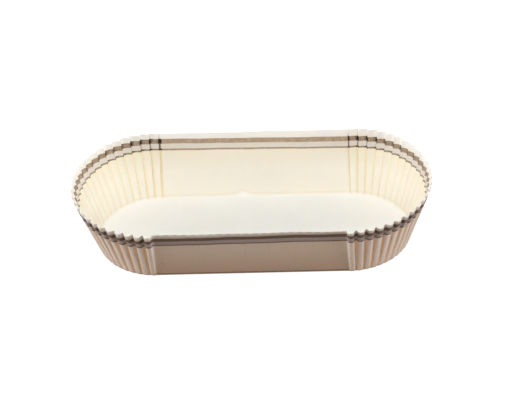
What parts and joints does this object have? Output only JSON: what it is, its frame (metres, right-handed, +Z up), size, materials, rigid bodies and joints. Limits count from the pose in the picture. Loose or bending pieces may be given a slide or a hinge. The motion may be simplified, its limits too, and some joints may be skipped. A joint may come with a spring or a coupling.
{
  "type": "oval paper baking cup",
  "caption": "Long paper baking cup with half-round fluted ends, plain leaning side panels, a flat floor and a printed double stripe below the cut edge.",
  "frame": {"origin": "middle of the floor's underside, where the cup stands", "axes": "+X along the cup, +Y across it, +Z up out of its mouth"},
  "size_m": [0.191, 0.091, 0.0361],
  "materials": {
    "greaseproof_paper": "matte"
  },
  "bodies": {
    "root": {"paper_cup": "greaseproof_paper"}
  },
  "joints": []
}
